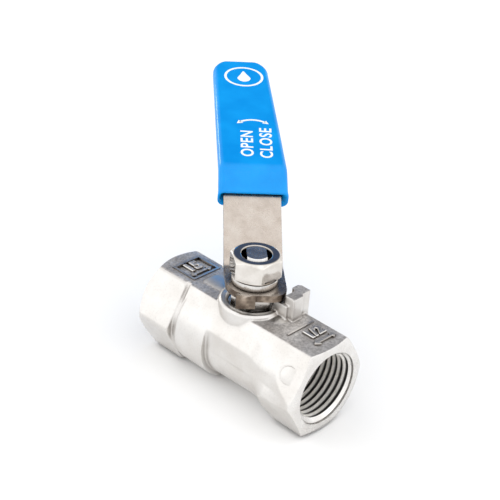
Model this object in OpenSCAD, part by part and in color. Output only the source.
// One-piece threaded ball valve, DN15, with a quarter-turn lever.
// The pipe runs along X with the outlet towards +X, and the stem stands along +Z.
// Every module draws about the ball centre, and place() moves it into the part's own frame,
// whose origin is the centre of the outlet end face.

/* [Body] */
// Distance from the stem axis to the inlet end face
inlet_len = 31.5; // [29:0.5:36]
// Distance from the stem axis to the outlet end face
outlet_len = 29; // [28:0.5:34]
// Hexagon size across flats
hex_af = 26; // [25:0.5:28]
// Radius that the hexagon corners are rounded to
corner_r = 14.7; // [14.2:0.1:15]
// Radius of the flat ring on each end face
end_face_r = 12.8; // [11.8:0.1:13]
// Length of the inlet hexagon
inlet_hex_len = 13.2; // [11:0.2:14]
// Radius of the cast barrel round the ball
barrel_r = 13.5; // [13.1:0.1:14]
// Radius of the waist under the barrel
waist_r = 12; // [11.5:0.1:12.5]
// Width of the flat strip along the top of the body
strip_w = 14.4; // [10:0.2:15]

/* [Ports] */
// Radius of the port wall, the minor radius of a G1/2 thread
port_r = 9.316; // [9.2:0.002:9.4]
// Length of thread in each port
port_depth = 14; // [12:0.5:14.5]

/* [Neck] */
// Radius of the boss round the stem
boss_r = 9.4; // [8.5:0.1:10]
// Height of the boss above the pipe axis
boss_z = 14.2; // [13.8:0.1:15]
// Height of the top of the stop post above the pipe axis
post_z = 19.8; // [18.5:0.1:20.5]

/* [Ball and seats] */
// Radius of the ball
ball_r = 8.25; // [8:0.05:8.3]
// Radius of the reduced waterway through the ball
waterway_r = 4.6; // [4:0.1:4.7]

/* [Stem] */
// Radius of the stem, an M8 thread at its top
stem_r = 4; // [3.8:0.05:4]
// Distance across the two flats of the stem
stem_af = 5.4; // [5:0.1:6]

/* [Lever] */
// Direction of the lever as modelled, counted from the pipe's +X direction
lever_turn = 138.5; // [91:0.5:179]
// Width of the lever plate
lever_w = 16.4; // [14:0.2:17]
// Offset of the plate's middle line to the left of the stem axis
lever_shift = -0.3; // [-1:0.1:0]
// Thickness of the lever plate
lever_t = 2; // [1.5:0.1:2.5]
// Height of the underside of the lever above the pipe axis
lever_z = 17.9; // [17.8:0.1:18.2]
// Angle at which the lever rises behind the nut
rise_angle = 38; // [30:1:45]
// Angle of the grip above the horizontal
grip_angle = 6.7; // [0:0.1:12]
// Reach of the lever plate from the stem axis
lever_reach = 93; // [85:1:110]

/* [Sleeve] */
// Width of the vinyl sleeve
sleeve_w = 18.8; // [17.8:0.1:20]
// Thickness of the sleeve wall above and below the plate
sleeve_wall = 1.6; // [1:0.1:2]
// Distance from the stem axis at which the sleeve starts
sleeve_start = 24.5; // [22:0.5:30]

/* [Fasteners] */
// Hexagon size of the lever nut across flats
nut_af = 13; // [12.5:0.5:14]
// Height of the lever nut
nut_h = 6.5; // [5:0.1:7]
// Outer radius of the spring washer
washer_r = 6.4; // [6:0.1:7]
// Thickness of the spring washer
washer_t = 2; // [1.6:0.1:2.2]
// Hexagon size of the gland nut across flats
gland_af = 11; // [10.5:0.1:11.4]

/* [Hidden] */
$fn = 96;
eps = 0.01;
running_gap = 0.05;

// Body
hex_top = hex_af / 2;
neck_len = 2;
neck_r = hex_top - 0.2;
inlet_shoulder_x = -inlet_len + inlet_hex_len;
inlet_chamfer = 1.7;
outlet_chamfer = 0.9;
shoulder_chamfer = 0.6;
barrel_start_x = inlet_shoulder_x + neck_len;
waist_start_x = -5.4;
waist_end_x = 8.8;
waist_end_r = waist_r - 0.3;
saddle_full_x = 11;
flare_mid_x = 14;
flare_end_x = 20;
port_edge = 1.4;

// Inside of the body, from the inlet port to the outlet port
chamber_r = ball_r + 0.15;
chamber_start_x = -9.6;
seat_back_x = 7.9;
seat_front_x = 4.2;
seat_bore_r = waterway_r + 0.2;
retainer_bore_r = 9.2;
relief_r = 10.6;
relief_len = 1.2;
relief_start_x = -inlet_len + port_depth;
retainer_start_x = relief_start_x + relief_len;
gasket_t = 0.8;
socket_af = 11;
socket_depth = 3.5;

// Heights of the stem, packing and gland
tang_z = 5.6;
slot_z = 5.3;
flange_z = 8.5;
thrust_z = 9.6;
ledge_z = 10.2;
packing_z = 10.9;
packing_t = 0.7;
gland_z = packing_z + 2 * packing_t;
recess_z = 13.2;
gland_hex_z = recess_z + 0.1;
gland_top_z = 17.3;
flange_r = 5.5;
packing_r = 5.5;
recess_r = 6.8;
tang_t = 5;
tang_r = 3.8;
slot_w = 5.3;
stem_edge = 0.6;

// Lever
base_top_z = lever_z + lever_t;
left_y = lever_shift + lever_w / 2;
right_y = lever_shift - lever_w / 2;
bend_r = 3;
plate_mid_z = lever_z + lever_t / 2;
tab_depth = 1.6;
tab_out = 8.8;
tab_in = 6.9;
tab_side = 0.3;
tab_w = 5.2;
corner_round = 4.2;
tip_r = 4;
rise_start = 8.4;
rise_end = 31.4;

// Lengths of the lever's straight runs, so that its bends lie where the rise starts and ends.
bend_mid_r = bend_r + lever_t / 2;
bend_cut_low = bend_mid_r * tan(rise_angle / 2);
bend_cut_high = bend_mid_r * tan((rise_angle - grip_angle) / 2);
base_run = rise_start - bend_cut_low;
rise_run = (rise_end - rise_start) / cos(rise_angle) - bend_cut_low - bend_cut_high;
grip_run = (lever_reach - rise_end) / cos(grip_angle) - bend_cut_high;
lever_steps = [[base_run, rise_angle], [rise_run, grip_angle - rise_angle], [grip_run, 0]];

// Stack above the lever
nut_z = base_top_z + washer_t;
nut_face_inset = 0.4;
nut_chamfer_angle = 30;
stem_proud = 0.2;
stem_top_z = nut_z + nut_h + stem_proud;

// Places of the stop post, from the stem axis
post_near_x = 10.5;
post_far_x = 13.9;
post_rear_x = 9;
post_rear_end_x = 13;
post_front_y = 1;
post_step_y = 4.6;
post_step = 0.8;
post_rear_y = 8.5;
post_corner = 0.8;
post_foot_z = 8;
rib_x = 7.4;
rib_y = 0.1;
rib_w = 4;
rib_z = 17.3;

// ---- frames and repeated shapes ----

module place() {
    translate([-outlet_len, 0, 0]) children();
}

// Turns what is drawn along +X to the lever's direction.
module turned() {
    place() rotate([0, 0, lever_turn]) children();
}

// A ring or a disc about the pipe axis, from one X to another.
module pipe_disc(x_from, x_to, r) {
    translate([x_from, 0, 0]) rotate([0, 90, 0]) cylinder(h = x_to - x_from, r = r);
}

module pipe_cone(x_from, x_to, r_from, r_to) {
    translate([x_from, 0, 0]) rotate([0, 90, 0]) cylinder(h = x_to - x_from, r1 = r_from, r2 = r_to);
}

module pipe_hexagon(x_from, x_to, af) {
    translate([x_from, 0, 0]) rotate([0, 90, 0]) rotate([0, 0, 90])
        cylinder(h = x_to - x_from, r = af / 2 / cos(30), $fn = 6);
}

module stem_disc(z_from, z_to, r) {
    translate([0, 0, z_from]) cylinder(h = z_to - z_from, r = r);
}

module stem_ring(z_from, z_to, r_in, r_out) {
    difference() {
        stem_disc(z_from, z_to, r_out);
        stem_disc(z_from - 1, z_to + 1, r_in);
    }
}

// A hexagon nut on the stem, with its corners turned off at the top, or at both ends.
// Where they aren't, the lower cone starts so far down that it is clear of the hexagon.
module stem_hexagon(z_from, z_to, af, both_ends) {
    face_r = af / 2 - nut_face_inset;
    below = both_ends ? 0 : af;
    intersection() {
        translate([0, 0, z_from]) cylinder(h = z_to - z_from, r = af / 2 / cos(30), $fn = 6);
        translate([0, 0, z_to - af])
            cylinder(h = af, r1 = face_r + af / tan(nut_chamfer_angle), r2 = face_r);
        translate([0, 0, z_from - below])
            cylinder(h = af + below, r1 = face_r, r2 = face_r + (af + below) / tan(nut_chamfer_angle));
    }
}

// ---- body ----

module inlet_end() {
    intersection() {
        pipe_hexagon(-inlet_len, inlet_shoulder_x, hex_af);
        union() {
            pipe_cone(-inlet_len, -inlet_len + inlet_chamfer, end_face_r, corner_r);
            pipe_disc(-inlet_len + inlet_chamfer, inlet_shoulder_x - shoulder_chamfer, corner_r);
            pipe_cone(inlet_shoulder_x - shoulder_chamfer, inlet_shoulder_x, corner_r,
                      corner_r - shoulder_chamfer);
        }
    }
}

module outlet_end() {
    intersection() {
        pipe_hexagon(waist_end_x, outlet_len, hex_af);
        union() {
            pipe_cone(waist_end_x, flare_mid_x, waist_end_r, hex_top);
            pipe_cone(flare_mid_x, flare_end_x, hex_top, corner_r);
            pipe_disc(flare_end_x, outlet_len - outlet_chamfer, corner_r);
            pipe_cone(outlet_len - outlet_chamfer, outlet_len, corner_r, end_face_r);
        }
    }
}

// Full barrel on the inlet side of the ball, and a half barrel with upright sides over the waist.
module barrel() {
    saddle_start_x = waist_start_x - 1;
    saddle_end_x = flare_mid_x + 1;
    pipe_disc(inlet_shoulder_x - 1, barrel_start_x, neck_r);
    pipe_disc(barrel_start_x - eps, waist_start_x, barrel_r);
    pipe_cone(waist_start_x - eps, waist_end_x + eps, waist_r, waist_end_r);
    intersection() {
        union() {
            pipe_disc(saddle_start_x, saddle_full_x, barrel_r);
            pipe_cone(saddle_full_x, saddle_end_x, barrel_r, neck_r);
        }
        translate([saddle_start_x, -waist_r, 0])
            cube([saddle_end_x - saddle_start_x, 2 * waist_r, barrel_r]);
    }
}

// Flat strip that joins the top flats of the two hexagons, with sides on the hexagon's slope.
module top_strip() {
    strip_end_x = flare_end_x + 1;
    intersection() {
        translate([inlet_shoulder_x - 1, -strip_w, hex_top / 2])
            cube([strip_end_x - inlet_shoulder_x + 1, 2 * strip_w, hex_top / 2]);
        pipe_hexagon(inlet_shoulder_x - 1, strip_end_x, hex_af);
        pipe_disc(inlet_shoulder_x - 1, strip_end_x, norm([strip_w / 2, hex_top]));
    }
}

// Stepped post beside the neck: the lever's edge meets it when the valve is shut.
module stop_post() {
    translate([0, 0, post_foot_z]) linear_extrude(height = post_z - post_foot_z)
        polygon([[post_near_x, post_front_y], [post_far_x, post_front_y], [post_far_x, post_step_y],
                 [post_rear_end_x, post_step_y + post_step], [post_rear_end_x, post_rear_y],
                 [post_rear_x + post_corner, post_rear_y], [post_rear_x, post_rear_y - post_corner],
                 [post_rear_x, post_step_y + post_step], [post_near_x, post_step_y]]);
}

// Low rib from the post to the neck, under the lever: the lever's tab meets it when the valve is open.
module stop_rib() {
    translate([rib_x, rib_y, post_foot_z])
        cube([(post_near_x + post_far_x) / 2 - rib_x, rib_w, rib_z - post_foot_z]);
}

module body_bores() {
    pipe_disc(-inlet_len - 1, relief_start_x, port_r);
    pipe_cone(-inlet_len - eps, -inlet_len + port_edge, port_r + port_edge, port_r);
    pipe_disc(relief_start_x - eps, retainer_start_x, relief_r);
    pipe_disc(retainer_start_x - eps, chamber_start_x, retainer_bore_r);
    pipe_disc(chamber_start_x - eps, seat_back_x, chamber_r);
    pipe_disc(seat_back_x - eps, outlet_len, waterway_r);
    pipe_disc(outlet_len - port_depth, outlet_len + 1, port_r);
    pipe_cone(outlet_len - port_edge, outlet_len + eps, port_r, port_r + port_edge);
    stem_disc(0, ledge_z, flange_r + running_gap);
    stem_disc(0, recess_z + 1, stem_r + running_gap);
    stem_disc(packing_z, recess_z + 1, packing_r);
    stem_disc(recess_z, boss_z + 1, recess_r);
}

module body() {
    color("gainsboro") place() difference() {
        union() {
            inlet_end();
            outlet_end();
            barrel();
            top_strip();
            stem_disc(ledge_z - 1, boss_z, boss_r);
            stop_post();
            stop_rib();
        }
        body_bores();
    }
}

// ---- parts in the waterway ----

module retainer() {
    color("silver") place() difference() {
        union() {
            pipe_disc(retainer_start_x + 0.1, chamber_start_x - gasket_t, retainer_bore_r - running_gap);
            pipe_disc(chamber_start_x - gasket_t - eps, -seat_back_x, chamber_r - 0.1);
        }
        pipe_disc(retainer_start_x - 1, 0, waterway_r);
        pipe_hexagon(retainer_start_x - 1, retainer_start_x + socket_depth, socket_af);
    }
}

module retainer_seal() {
    color("white") place() difference() {
        pipe_disc(chamber_start_x - gasket_t, chamber_start_x, retainer_bore_r - running_gap);
        pipe_disc(chamber_start_x - 2, chamber_start_x + 1, chamber_r - 0.1 + running_gap);
    }
}

module ball() {
    color("lightsteelblue") turned() difference() {
        sphere(r = ball_r);
        pipe_disc(-ball_r - 1, ball_r + 1, waterway_r);
        translate([-slot_w / 2, -ball_r - 1, slot_z]) cube([slot_w, 2 * ball_r + 2, ball_r]);
    }
}

// Ring between the ball and the wall behind it, dished to the ball.
module seat() {
    difference() {
        pipe_disc(seat_front_x, seat_back_x, chamber_r - running_gap);
        pipe_disc(seat_front_x - 1, seat_back_x + 1, seat_bore_r);
        sphere(r = ball_r + running_gap);
    }
}

module inlet_seat() {
    color("white") place() rotate([0, 0, 180]) seat();
}

module outlet_seat() {
    color("white") place() seat();
}

// ---- stem and packing ----

// What lies outside the two flats, which run along the lever.
module stem_flats(z_from, z_to, af) {
    for (side = [0, 180])
        rotate([0, 0, side]) translate([-stem_r - 1, af / 2, z_from])
            cube([2 * stem_r + 2, stem_r, z_to - z_from]);
}

module stem() {
    color("silver") turned() difference() {
        union() {
            intersection() {
                stem_disc(tang_z, thrust_z, tang_r);
                translate([-tang_t / 2, -tang_r, tang_z]) cube([tang_t, 2 * tang_r, thrust_z - tang_z]);
            }
            stem_disc(flange_z, thrust_z, flange_r);
            stem_disc(flange_z, stem_top_z - stem_edge, stem_r);
            translate([0, 0, stem_top_z - stem_edge])
                cylinder(h = stem_edge, r1 = stem_r, r2 = stem_r - stem_edge);
        }
        stem_flats(lever_z - 0.4, stem_top_z + 1, stem_af);
    }
}

module thrust_washer() {
    color("white") place() stem_ring(thrust_z, ledge_z, stem_r + running_gap, flange_r);
}

module packing_ring(step) {
    color("white") place()
        stem_ring(packing_z + step * packing_t, packing_z + (step + 1) * packing_t,
                  stem_r + running_gap, packing_r - running_gap);
}

module packing_ring_lower() {
    packing_ring(0);
}

module packing_ring_upper() {
    packing_ring(1);
}

module gland_nut() {
    color("silver") place() difference() {
        union() {
            stem_disc(gland_z, gland_hex_z + eps, packing_r - running_gap);
            stem_hexagon(gland_hex_z, gland_top_z, gland_af, false);
        }
        stem_disc(gland_z - 1, gland_top_z + 1, stem_r + running_gap);
    }
}

// ---- lever ----

// Side view of a bent strip: each step is [straight length, bend angle], and the strip's
// middle line starts at the origin along +X. A bend turns up when its angle is positive.
module bent_strip(steps, thick, i = 0) {
    if (i < len(steps)) {
        run = steps[i][0];
        angle = steps[i][1];
        side = sign(angle);
        translate([-eps, -thick / 2]) square([run + 2 * eps, thick]);
        translate([run, side * bend_mid_r]) {
            if (angle != 0) bend_sector(angle, bend_mid_r - thick / 2, bend_mid_r + thick / 2);
            rotate(angle) translate([0, -side * bend_mid_r]) bent_strip(steps, thick, i + 1);
        }
    }
}

module bend_sector(angle, r_in, r_out) {
    side = sign(angle);
    far = 3 * r_out;
    intersection() {
        difference() {
            circle(r = r_out);
            circle(r = r_in);
        }
        polygon([[0, 0], [0, -side * far], [far * sin(abs(angle)), -side * far],
                 [far * sin(abs(angle)), -side * far * cos(angle)]]);
    }
}

// Base of the lever round the stem: rounded on the left, a blunt corner on the right.
module base_outline() {
    round_x = corner_round - left_y;
    round_y = right_y + corner_round;
    circle(r = left_y);
    translate([0, right_y]) square([base_run, lever_w]);
    translate([round_x, round_y]) circle(r = corner_round);
    translate([round_x, right_y]) square([-round_x, -right_y]);
    translate([-left_y, round_y]) square([left_y, -round_y]);
}

// Plan outline of a strip on the plate's middle line whose far corners are rounded.
module strip_outline(x_from, x_to, width, r) {
    side_y = width / 2 - r;
    translate([0, lever_shift]) {
        translate([x_from, -width / 2]) square([x_to - r - x_from, width]);
        translate([x_from, -side_y]) square([x_to - x_from, 2 * side_y]);
        for (side = [-1, 1])
            translate([x_to - r, side * side_y]) circle(r = r);
    }
}

// What the side view and the plan outline (as a child) have in common.
module bent_plate(thick, steps) {
    tall = 60;
    intersection() {
        rotate([90, 0, 0]) linear_extrude(height = 3 * sleeve_w, center = true)
            translate([0, plate_mid_z]) bent_strip(steps, thick);
        linear_extrude(height = tall) children();
    }
}

// Tab bent down from the left of the base's end.
module lever_tab() {
    drop_z = lever_z - tab_depth;
    bevel = 1.4;
    difference() {
        translate([-tab_out, tab_side, drop_z]) cube([tab_out - tab_in, tab_w, base_top_z - drop_z]);
        translate([-tab_out, 0, base_top_z]) rotate([0, 45, 0]) cube([bevel, 4 * tab_w, bevel], center = true);
    }
}

module stem_hole() {
    difference() {
        stem_disc(lever_z - 1, base_top_z + 1, stem_r + 2 * running_gap);
        stem_flats(lever_z - 2, base_top_z + 2, stem_af + 2 * running_gap);
    }
}

module lever() {
    color("silver") turned() difference() {
        union() {
            translate([0, 0, lever_z]) linear_extrude(height = lever_t) base_outline();
            bent_plate(lever_t, lever_steps) strip_outline(0, lever_reach, lever_w, tip_r);
            lever_tab();
        }
        stem_hole();
    }
}

// Vinyl sleeve: a shell round the grip and the top of the rise, closed at its far end.
module lever_sleeve() {
    steps = [lever_steps[0], lever_steps[1], [grip_run + sleeve_wall + 1, 0]];
    color("dodgerblue") turned() difference() {
        bent_plate(lever_t + 2 * sleeve_wall, steps)
            strip_outline(sleeve_start, lever_reach + sleeve_wall, sleeve_w, tip_r + 1);
        bent_plate(lever_t + 2 * running_gap, steps)
            strip_outline(0, lever_reach + running_gap, lever_w + 2 * running_gap, tip_r);
    }
}

// ---- fasteners of the lever ----

// Split ring, cut through at the back.
module spring_washer() {
    split = 1;
    color("silver") turned() difference() {
        stem_ring(base_top_z, nut_z, stem_r + 0.1, washer_r);
        rotate([0, 0, 60]) rotate([20, 0, 0])
            translate([0, -split / 2, base_top_z - 2]) cube([2 * washer_r, split, 4 * washer_t]);
    }
}

module lever_nut() {
    corner_turn = 9;
    color("silver") turned() difference() {
        rotate([0, 0, corner_turn]) stem_hexagon(nut_z, nut_z + nut_h, nut_af, true);
        stem_disc(nut_z - 1, nut_z + nut_h + 1, stem_r + running_gap);
    }
}

body();
retainer();
retainer_seal();
ball();
inlet_seat();
outlet_seat();
stem();
thrust_washer();
packing_ring_lower();
packing_ring_upper();
gland_nut();
lever();
lever_sleeve();
spring_washer();
lever_nut();
